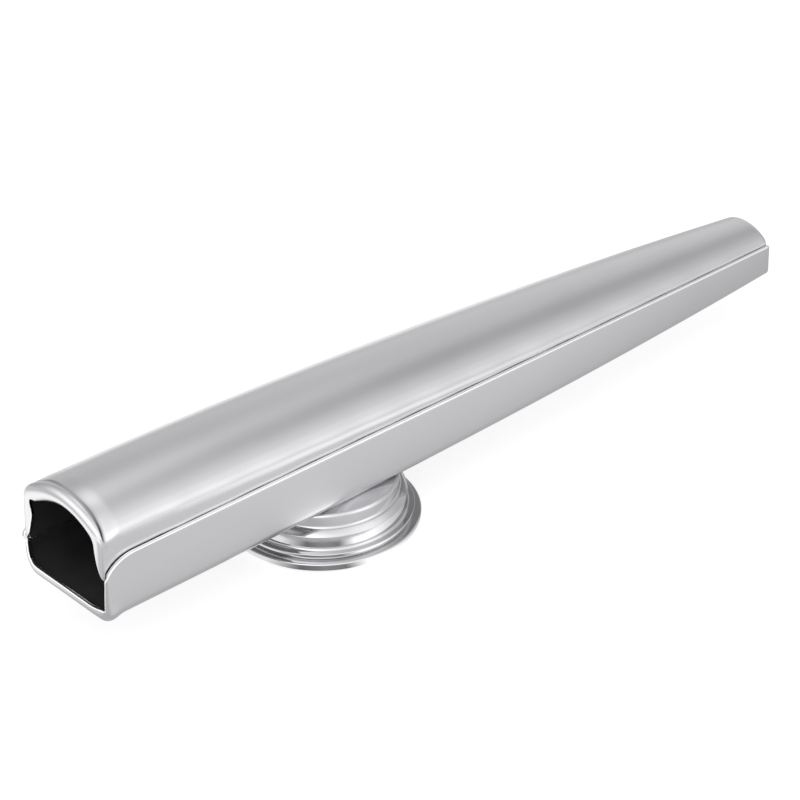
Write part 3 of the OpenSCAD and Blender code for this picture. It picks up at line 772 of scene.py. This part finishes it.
# Turret collar. Drawn from 0.8 mm sheet in one piece: a tube clinched into the body's
# floor, a drum, a wider band and a lip. It is bright chromed, and the cap's thread is
# rolled into the inside of its band.
COLLAR_SHEET = 0.8
TUBE_RADIUS, TUBE_WALL = 5.8, 0.55
CLINCH_RADIUS, CLINCH_THICKNESS, CLINCH_EDGE = 6.8, 0.5, 0.15
DRUM_RADIUS, DRUM_HEIGHT, DRUM_EDGE = 10.35, 2.0, 0.45
BAND_RADIUS, STEP_Z, FLANGE_Z = 11.35, -2.75, -4.75
# The band's top corner: a small bevel, then a round edge whose centre lies a little lower
BAND_BEVEL, BAND_EDGE, BAND_EDGE_DROP = 0.12, 0.14, 0.04
FOOT_FILLET = 0.4
FLANGE_RADIUS, FLANGE_THICKNESS = 12.3, 0.85
LIP_EDGE, LIP_FOOT = 0.12, 0.4
SEAT_Z = -2.6
BORE_RADIUS, BORE_EDGE = BAND_RADIUS - COLLAR_SHEET, 0.15
CHAMBER_RADIUS = DRUM_RADIUS - COLLAR_SHEET
FLANGE_FOOT_Z = FLANGE_Z - FLANGE_THICKNESS
THREAD_PITCH, THREAD_TURNS, THREAD_START_Z = 0.9, 2.0, -5.35
THREAD_HALF_WIDTH, THREAD_CREST = 0.2, 0.04
# How far a ridge stands out of its wall, and how far its foot is sunk into it
THREAD_DEPTH, THREAD_SUNK = 0.09, 0.05
SPIN_STEPS = 192


def arc(r, z, radius, start, end, steps=10):
    """Points of an arc about (r, z), angles in degrees, without its first point."""
    angles = [math.radians(start + (end - start) * i / steps) for i in range(1, steps + 1)]
    return [(r + radius * math.cos(a), z + radius * math.sin(a)) for a in angles]


def spun(profile, closed=True, turns=1.0, rise=0.0, start_angle=0.0):
    """A profile of (r, z) points in millimetres, turned about the turret's axis."""
    bm = bmesh.new()
    verts = [bm.verts.new((r * MM, 0.0, z * MM)) for r, z in profile]
    ring = verts + verts[:1] if closed else verts
    for a, b in zip(ring, ring[1:]):
        bm.edges.new((a, b))
    bmesh.ops.rotate(bm, verts=verts, matrix=Matrix.Rotation(start_angle, 3, "Z"))
    steps = round(SPIN_STEPS * turns)
    bmesh.ops.spin(bm, geom=bm.verts[:] + bm.edges[:], cent=(0, 0, 0), axis=(0, 0, 1),
                   angle=2 * math.pi * turns, steps=steps, use_merge=turns == 1.0,
                   dvec=(0, 0, rise * MM / steps))
    if turns != 1.0:
        bmesh.ops.holes_fill(bm, edges=[e for e in bm.edges if e.is_boundary], sides=0)
    bmesh.ops.translate(bm, verts=bm.verts[:], vec=turret_top)
    bmesh.ops.recalc_face_normals(bm, faces=bm.faces[:])
    return bm


def thread(root, crest, start_angle):
    """One right-handed helical ridge from a radius just inside the wall to its crest."""
    ridge = [(root, THREAD_START_Z - THREAD_HALF_WIDTH), (crest, THREAD_START_Z - THREAD_CREST),
             (crest, THREAD_START_Z + THREAD_CREST), (root, THREAD_START_Z + THREAD_HALF_WIDTH)]
    return spun(ridge, True, THREAD_TURNS, THREAD_PITCH * THREAD_TURNS, start_angle)


def join(bm, other):
    """Adds the mesh of one bmesh to another."""
    mesh = bpy.data.meshes.new("joined")
    other.to_mesh(mesh)
    other.free()
    bm.from_mesh(mesh)
    bpy.data.meshes.remove(mesh)


tube_bore = TUBE_RADIUS - TUBE_WALL
clinch_top = SHEET + CLINCH_THICKNESS
bm = spun([
    (tube_bore, -COLLAR_SHEET), (tube_bore, SHEET),
    *arc(tube_bore + CLINCH_THICKNESS, SHEET, CLINCH_THICKNESS, 180, 90),
    (CLINCH_RADIUS - CLINCH_EDGE, clinch_top),
    *arc(CLINCH_RADIUS - CLINCH_EDGE, clinch_top - CLINCH_EDGE, CLINCH_EDGE, 90, 0, 4),
    (CLINCH_RADIUS, SHEET), (TUBE_RADIUS, SHEET), (TUBE_RADIUS, 0.0),
    (DRUM_RADIUS - DRUM_EDGE, 0.0),
    *arc(DRUM_RADIUS - DRUM_EDGE, -DRUM_EDGE, DRUM_EDGE, 90, 0),
    (DRUM_RADIUS, FOOT_FILLET - DRUM_HEIGHT),
    *arc(DRUM_RADIUS + FOOT_FILLET, FOOT_FILLET - DRUM_HEIGHT, FOOT_FILLET, 180, 270),
    (BAND_RADIUS - BAND_BEVEL, STEP_Z + BAND_BEVEL),
    *arc(BAND_RADIUS - BAND_EDGE, STEP_Z - BAND_EDGE_DROP, BAND_EDGE, 60, 0, 5),
    (BAND_RADIUS, FLANGE_Z + FOOT_FILLET),
    *arc(BAND_RADIUS + FOOT_FILLET, FLANGE_Z + FOOT_FILLET, FOOT_FILLET, 180, 270),
    (FLANGE_RADIUS - LIP_EDGE, FLANGE_Z),
    *arc(FLANGE_RADIUS - LIP_EDGE, FLANGE_Z - LIP_EDGE, LIP_EDGE, 90, 0, 6),
    (FLANGE_RADIUS, FLANGE_FOOT_Z + LIP_FOOT),
    *arc(FLANGE_RADIUS - LIP_FOOT, FLANGE_FOOT_Z + LIP_FOOT, LIP_FOOT, 0, -90),
    (BORE_RADIUS + BORE_EDGE, FLANGE_FOOT_Z),
    *arc(BORE_RADIUS + BORE_EDGE, FLANGE_FOOT_Z + BORE_EDGE, BORE_EDGE, -90, -180, 5),
    (BORE_RADIUS, SEAT_Z), (CHAMBER_RADIUS, SEAT_Z), (CHAMBER_RADIUS, -COLLAR_SHEET),
])
join(bm, thread(BORE_RADIUS + THREAD_SUNK, BORE_RADIUS - THREAD_DEPTH, math.pi))

# Bright chrome plate on drawn steel: mirror smooth, with the faint unevenness that thin
# metal keeps from the press.
CHROME_LIGHT, CHROME_DARK = "#c9c9ca", "#bebec0"
CHROME_CLOUD, CHROME_RIPPLE = 4.0 * MM, 2.0 * MM
chrome, tree = new_material("bright_chrome_plate")
spot = add_node(tree, "ShaderNodeTexCoord").outputs["Object"]
cloud = add_node(tree, "ShaderNodeTexNoise", {"Scale": 1 / CHROME_CLOUD, "Detail": 3.0},
                 {"Vector": spot})
tone = add_node(tree, "ShaderNodeMix", {
    "data_type": "RGBA", 6: linear(CHROME_DARK), 7: linear(CHROME_LIGHT)},
    {0: cloud.outputs[0]})
gloss = add_node(tree, "ShaderNodeMapRange", {"To Min": 0.04, "To Max": 0.1},
                 {"Value": cloud.outputs[0]})
wave = add_node(tree, "ShaderNodeTexNoise", {
    "Scale": 1 / CHROME_RIPPLE, "Detail": 2.0, "Roughness": 0.5}, {"Vector": spot})
ripple = add_node(tree, "ShaderNodeBump", {"Strength": 0.5, "Distance": 0.04 * MM},
                  {"Height": wave.outputs[0]})
metal = add_node(tree, "ShaderNodeBsdfPrincipled", {"Metallic": 1.0}, {
    "Base Color": tone.outputs[2], "Roughness": gloss.outputs[0],
    "Normal": ripple.outputs[0]})
add_node(tree, "ShaderNodeOutputMaterial", {}, {"Surface": metal.outputs[0]})

finish_piece("turret_collar_drawn", bm, (chrome,), "body", "collar_chrome", "turret_collar")


# Membrane film. A disc of thin waxed film, the part that buzzes: stretched over its ring,
# milky, with the faint wrinkles of its tension.
FILM_RADIUS, FILM_THICKNESS, FILM_Z = 10.25, 0.08, -2.7
bm = spun([(0.0, FILM_Z), (FILM_RADIUS, FILM_Z), (FILM_RADIUS, FILM_Z + FILM_THICKNESS),
           (0.0, FILM_Z + FILM_THICKNESS)], closed=False)
bmesh.ops.remove_doubles(bm, verts=bm.verts[:], dist=0.001 * MM)
bmesh.ops.recalc_face_normals(bm, faces=bm.faces[:])

# Waxed film: milky and half dull, with soft clouds in it and fine wrinkles along the pull.
FILM_LIGHT, FILM_SHADE = "#eeece4", "#dcd9cd"
FILM_CLOUD, FILM_WRINKLE, FILM_PULL = 3.33 * MM, 1.67 * MM, (1.0, 0.2, 1.0)
film_skin, tree = new_material("waxed_film")
spot = add_node(tree, "ShaderNodeTexCoord").outputs["Object"]
cloud = add_node(tree, "ShaderNodeTexNoise", {"Scale": 1 / FILM_CLOUD, "Detail": 4.0},
                 {"Vector": spot})
tone = add_node(tree, "ShaderNodeMix", {
    "data_type": "RGBA", 6: linear(FILM_SHADE), 7: linear(FILM_LIGHT)},
    {0: cloud.outputs[0]})
drawn = add_node(tree, "ShaderNodeMapping", {"Scale": FILM_PULL}, {"Vector": spot})
pull = add_node(tree, "ShaderNodeTexNoise", {"Scale": 1 / FILM_WRINKLE, "Detail": 2.0},
                {"Vector": drawn.outputs[0]})
wrinkle = add_node(tree, "ShaderNodeBump", {"Strength": 0.5, "Distance": 0.1 * MM},
                   {"Height": pull.outputs[0]})
skin = add_node(tree, "ShaderNodeBsdfPrincipled", {
    "Roughness": 0.35, "IOR": 1.43, "Subsurface Weight": 0.3, "Subsurface Scale": 1 * MM},
    {"Base Color": tone.outputs[2], "Normal": wrinkle.outputs[0]})
add_node(tree, "ShaderNodeOutputMaterial", {}, {"Surface": skin.outputs[0]})

finish_piece("membrane_film_disc", bm, (film_skin,), "membrane", "film", "membrane_film")


# Membrane ring. A washer of punched card that the film is glued to, clamped between the
# collar's step and the cap's skirt.
RING_RADIUS, RING_WIDTH, RING_THICKNESS, RING_Z = 10.35, 1.7, 0.6, -3.3
RING_EDGE = 0.08
ring_in, ring_top = RING_RADIUS - RING_WIDTH, RING_Z + RING_THICKNESS
bm = spun([
    (ring_in, RING_Z + RING_EDGE), (ring_in + RING_EDGE, RING_Z),
    (RING_RADIUS - RING_EDGE, RING_Z), (RING_RADIUS, RING_Z + RING_EDGE),
    (RING_RADIUS, ring_top - RING_EDGE), (RING_RADIUS - RING_EDGE, ring_top),
    (ring_in + RING_EDGE, ring_top), (ring_in, ring_top - RING_EDGE),
])

# Punched buff card: matt, with its fibres showing as a slight fleck and a rough face.
CARD_LIGHT, CARD_SHADE = "#e9e2cf", "#cfc5ab"
CARD_FIBRE = 0.4 * MM
card, tree = new_material("punched_card")
spot = add_node(tree, "ShaderNodeTexCoord").outputs["Object"]
fibre = add_node(tree, "ShaderNodeTexNoise", {
    "Scale": 1 / CARD_FIBRE, "Detail": 4.0, "Roughness": 0.7}, {"Vector": spot})
tone = add_node(tree, "ShaderNodeMix", {
    "data_type": "RGBA", 6: linear(CARD_SHADE), 7: linear(CARD_LIGHT)},
    {0: fibre.outputs[0]})
grain = add_node(tree, "ShaderNodeBump", {"Strength": 0.4, "Distance": 0.05 * MM},
                 {"Height": fibre.outputs[0]})
board = add_node(tree, "ShaderNodeBsdfPrincipled", {"Roughness": 0.85}, {
    "Base Color": tone.outputs[2], "Normal": grain.outputs[0]})
add_node(tree, "ShaderNodeOutputMaterial", {}, {"Surface": board.outputs[0]})

finish_piece("membrane_ring_card", bm, (card,), "membrane", "ring_card", "membrane_ring")


# Screw cap. Pressed from 0.5 mm sheet, bright chromed, open in the middle. Its skirt screws
# into the collar and clamps the membrane, and its wide rim, which the fingers turn, has its
# edge folded under to a flat hem that the kazoo stands on.
CAP_SHEET = 0.5
SKIRT_RADIUS, SKIRT_WALL, HOLE_RADIUS = 10.47, 0.6, 9.0
SKIRT_TOP_Z = -3.32
THREAD_ROOT_RADIUS = 10.36
RIM_RADIUS, RIM_Z, RIM_HEIGHT = 13.15, -5.7, 1.35
RIM_EDGE, RIM_FOOT = 0.2, 0.9
HEM_WIDTH, HEM_EDGE = 0.6, 0.1
CLAMP_EDGE = 0.12
SKIRT_BORE = SKIRT_RADIUS - SKIRT_WALL
clamp_radius = THREAD_ROOT_RADIUS - CAP_SHEET / 2
clamp_in, clamp_foot_z = HOLE_RADIUS + CLAMP_EDGE, SKIRT_TOP_Z - CAP_SHEET
foot_z = RIM_Z - RIM_HEIGHT
foot_radius = RIM_RADIUS - RIM_FOOT
hem_in = foot_radius - HEM_WIDTH
hem_gap = (RIM_HEIGHT - 2 * CAP_SHEET) / 2
bm = spun([
    (clamp_in, SKIRT_TOP_Z), (clamp_radius, SKIRT_TOP_Z),
    *arc(clamp_radius, SKIRT_TOP_Z - CAP_SHEET / 2, CAP_SHEET / 2, 90, 0),
    (THREAD_ROOT_RADIUS, RIM_Z), (RIM_RADIUS - RIM_EDGE, RIM_Z),
    *arc(RIM_RADIUS - RIM_EDGE, RIM_Z - RIM_EDGE, RIM_EDGE, 90, 0),
    (RIM_RADIUS, foot_z + RIM_FOOT),
    *arc(foot_radius, foot_z + RIM_FOOT, RIM_FOOT, 0, -90, 24),
    (hem_in + HEM_EDGE, foot_z),
    *arc(hem_in + HEM_EDGE, foot_z + HEM_EDGE, HEM_EDGE, -90, -180, 4),
    (hem_in, foot_z + CAP_SHEET), (foot_radius, foot_z + CAP_SHEET),
    *arc(foot_radius, foot_z + CAP_SHEET + hem_gap, hem_gap, -90, 90),
    (SKIRT_BORE + CAP_SHEET, RIM_Z - CAP_SHEET),
    *arc(SKIRT_BORE + CAP_SHEET, RIM_Z, CAP_SHEET, 270, 180),
    (SKIRT_BORE, clamp_foot_z), (clamp_in, clamp_foot_z),
    *arc(clamp_in, clamp_foot_z + CLAMP_EDGE, CLAMP_EDGE, 270, 180, 4),
    *arc(clamp_in, SKIRT_TOP_Z - CLAMP_EDGE, CLAMP_EDGE, 180, 90, 4)[:-1],
])
join(bm, thread(THREAD_ROOT_RADIUS - THREAD_SUNK, THREAD_ROOT_RADIUS + THREAD_DEPTH, 0.0))
finish_piece("screw_cap_pressed", bm, (chrome,), "cap", "cap_chrome", "screw_cap")
